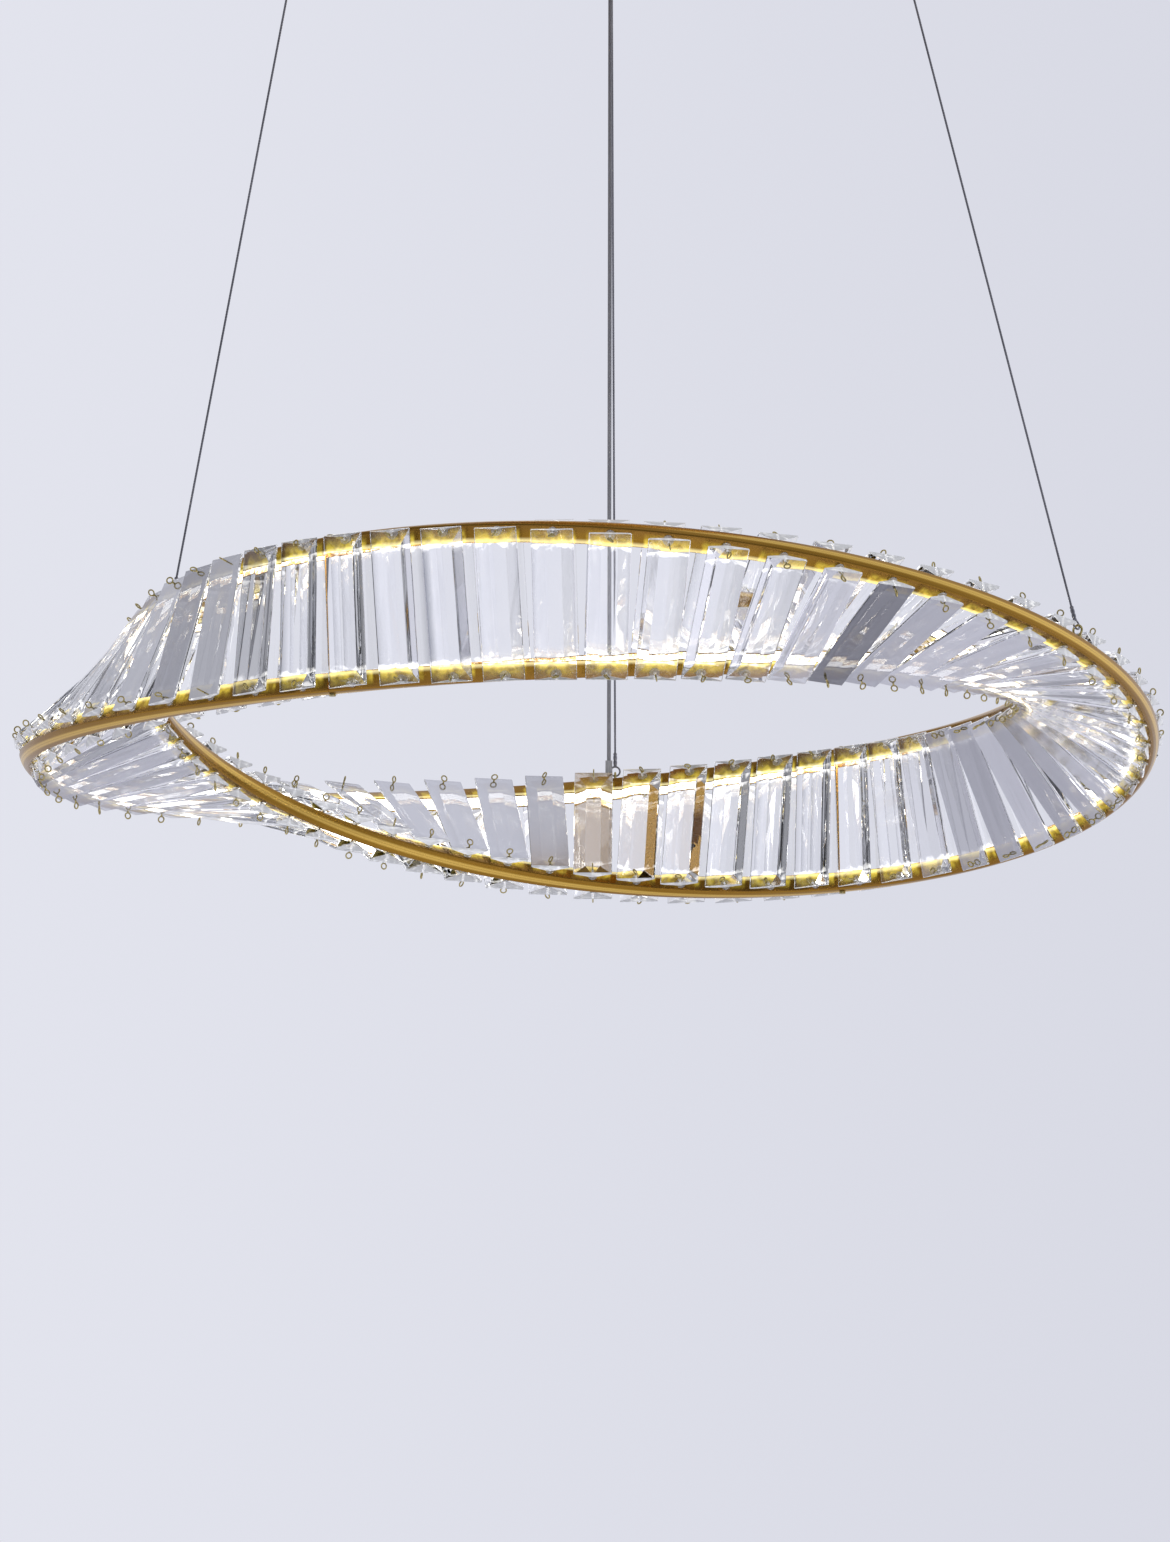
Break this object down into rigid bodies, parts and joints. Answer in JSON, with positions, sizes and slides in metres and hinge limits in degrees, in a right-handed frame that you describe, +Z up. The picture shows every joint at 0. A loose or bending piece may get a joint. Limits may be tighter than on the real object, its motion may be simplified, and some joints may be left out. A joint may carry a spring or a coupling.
{
  "type": "led pendant light",
  "caption": "Pendant light with a twisted ring of clear crystal bars pinned between two gold channel rails with light strips, hung by steel wires and a cord from a round canopy.",
  "frame": {"origin": "middle of the ceiling bracket's top face, on the ceiling, which is also the canopy's middle", "axes": "+Z up, square to the ceiling; the side that the lamp is looked at from faces -Y; +X to the right of it"},
  "size_m": [0.6014, 0.5888, 0.5581],
  "materials": {
    "rail_gold": "satin, warm gold plating",
    "led_board": "white board",
    "led_light": "milky, lit",
    "crystal": "polished, clear, cut facets",
    "clear_spacer": "clear silicone",
    "pin_steel": "nickel with a warm tint",
    "lead_copper": "insulated lead",
    "wire_steel": "stranded steel",
    "gripper_gold": "turned, gold plated",
    "spring_steel": "spring wire",
    "cord_sheath": "clear grey sheath",
    "gland_plastic": "clear grey nylon",
    "canopy_gold": "brushed, gold plated",
    "bracket_steel": "zinc plated",
    "driver_plastic": "white moulding",
    "board_green": "solder mask",
    "coil_yellow": "taped coil",
    "capacitor_black": "sleeved can",
    "block_white": "nylon"
  },
  "bodies": {
    "canopy": {"canopy_cover": "canopy_gold", "canopy_side_screws": "canopy_gold", "ceiling_bracket": "bracket_steel", "cord_gland_canopy": "gland_plastic", "driver_board": "board_green", "driver_capacitors": "capacitor_black", "driver_case": "driver_plastic", "driver_lid": "driver_plastic", "driver_screws": "bracket_steel", "driver_transformer": "coil_yellow", "earth_screw": "lead_copper", "gripper_barrels": "gripper_gold", "gripper_collets": "gripper_gold", "gripper_nuts": "gripper_gold", "mains_leads": "lead_copper", "output_leads": "lead_copper", "release_spring_far": "spring_steel", "release_spring_left": "spring_steel", "release_spring_right": "spring_steel", "terminal_block": "block_white", "wire_tails": "wire_steel"},
    "ring": {"cord_gland_ring": "gland_plastic", "crystal_spacers_inner": "clear_spacer", "crystal_spacers_outer": "clear_spacer", "crystals_inner_back": "crystal", "crystals_inner_left": "crystal", "crystals_inner_right": "crystal", "crystals_outer_back": "crystal", "crystals_outer_left": "crystal", "crystals_outer_right": "crystal", "eye_bolts": "pin_steel", "eye_pins_lower_inner": "pin_steel", "eye_pins_lower_outer": "pin_steel", "eye_pins_upper_inner": "pin_steel", "eye_pins_upper_outer": "pin_steel", "feed_lead": "lead_copper", "led_diffuser_lower_back": "led_light", "led_diffuser_lower_front": "led_light", "led_diffuser_upper_back": "led_light", "led_diffuser_upper_front": "led_light", "led_strip_lower_back": "led_board", "led_strip_lower_front": "led_board", "led_strip_upper_back": "led_board", "led_strip_upper_front": "led_board", "lower_rail_back": "rail_gold", "lower_rail_front": "rail_gold", "strut_screws": "pin_steel", "struts": "rail_gold", "upper_rail_back": "rail_gold", "upper_rail_front": "rail_gold"},
    "wire_left": {"suspension_wire_left": "wire_steel", "wire_loop_left": "wire_steel"},
    "release_left": {"gripper_release_left": "gripper_gold"},
    "wire_right": {"suspension_wire_right": "wire_steel", "wire_loop_right": "wire_steel"},
    "release_right": {"gripper_release_right": "gripper_gold"},
    "wire_far": {"suspension_wire_far": "wire_steel", "wire_loop_far": "wire_steel"},
    "release_far": {"gripper_release_far": "gripper_gold"},
    "cord": {"power_cord": "cord_sheath"}
  },
  "joints": [
    {"name": "ring_swing", "type": "hinge", "parent": "canopy", "child": "ring", "pos_m": [-0.00296, 0.00375, 0.54675], "axis": [0.7849, 0.6196, 0], "range_deg": [-1.5, 1.5]},
    {"name": "wire_left_swing", "type": "hinge", "parent": "canopy", "child": "wire_left", "pos_m": [-0.14886, -0.07787, -0.054], "axis": [0.7687, 0.6164, -0.1707], "range_deg": [-3.59, 3.59]},
    {"name": "wire_right_swing", "type": "hinge", "parent": "canopy", "child": "wire_right", "pos_m": [0.14187, -0.08998, -0.054], "axis": [0.7725, 0.6318, 0.0637], "range_deg": [-3.5, 3.5]},
    {"name": "wire_far_swing", "type": "hinge", "parent": "canopy", "child": "wire_far", "pos_m": [0.00699, 0.16785, -0.054], "axis": [0.7946, 0.5851, 0.1622], "range_deg": [-3.6, 3.6]},
    {"name": "cord_swing", "type": "hinge", "parent": "canopy", "child": "cord", "pos_m": [0.00609, 0.15685, -0.04034], "axis": [0.7944, 0.5862, 0.1592], "range_deg": [-3.5, 3.5]},
    {"name": "release_left_press", "type": "slide", "parent": "canopy", "child": "release_left", "axis": [0, 0, 1], "range_m": [0, 0.002], "stiffness_N_per_m": 400, "deforming": ["release_spring_left"]},
    {"name": "release_right_press", "type": "slide", "parent": "canopy", "child": "release_right", "axis": [0, 0, 1], "range_m": [0, 0.002], "stiffness_N_per_m": 400, "deforming": ["release_spring_right"]},
    {"name": "release_far_press", "type": "slide", "parent": "canopy", "child": "release_far", "axis": [0, 0, 1], "range_m": [0, 0.002], "stiffness_N_per_m": 400, "deforming": ["release_spring_far"]}
  ],
  "couplings": [
    {"joint": "wire_left_swing", "follows": "ring_swing", "ratio": 2.3886},
    {"joint": "wire_right_swing", "follows": "ring_swing", "ratio": 2.3298},
    {"joint": "wire_far_swing", "follows": "ring_swing", "ratio": 2.3915},
    {"joint": "cord_swing", "follows": "ring_swing", "ratio": 2.3277}
  ]
}
